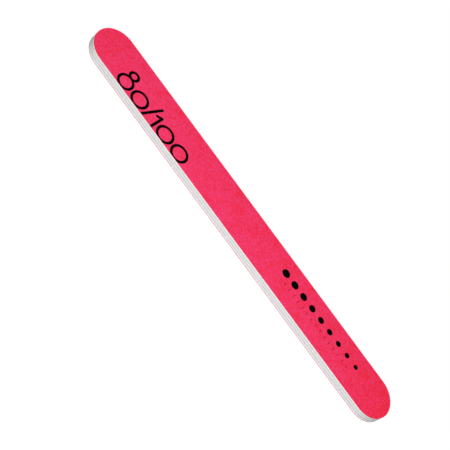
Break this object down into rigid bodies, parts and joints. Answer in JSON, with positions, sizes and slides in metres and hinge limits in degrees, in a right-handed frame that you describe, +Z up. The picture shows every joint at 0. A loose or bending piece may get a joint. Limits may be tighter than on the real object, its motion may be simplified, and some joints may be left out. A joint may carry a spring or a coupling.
{
  "type": "nail file",
  "caption": "Straight laminated nail file with full round ends, a coarse grain on the upper face and a finer one on the lower face, and a cushioned core.",
  "frame": {"origin": "centre of the board's underside, on the table that it lies on", "axes": "+X along the board, in the reading direction of the numerals on its upper face; +Y across the board, towards the tops of those numerals; +Z up out of the coarse face"},
  "size_m": [0.18, 0.019, 0.004],
  "materials": {
    "coarse_coat": "coarse mineral grain in pink resin, matte with fine sparkle",
    "fine_coat": "finer mineral grain in pink resin, matte with fine sparkle",
    "backing_paper": "uncoated latex paper, die-cut edge",
    "cushion_foam": "white closed-cell foam, matte cut edge",
    "support_foam": "light grey closed-cell foam, matte cut edge",
    "core_board": "smooth white sheet plastic, die-cut edge",
    "glue_film": "clear pressure-sensitive glue, slightly glossy"
  },
  "bodies": {
    "root": {"lower_abrasive_coat": "fine_coat", "lower_backing_paper": "backing_paper", "lower_sheet_glue": "glue_film", "lower_cushion_foam": "cushion_foam", "lower_cushion_glue": "glue_film", "lower_support_foam": "support_foam", "lower_core_glue": "glue_film", "core_board": "core_board", "upper_core_glue": "glue_film", "upper_support_foam": "support_foam", "upper_cushion_glue": "glue_film", "upper_cushion_foam": "cushion_foam", "upper_sheet_glue": "glue_film", "upper_backing_paper": "backing_paper", "upper_abrasive_coat": "coarse_coat"}
  },
  "joints": []
}
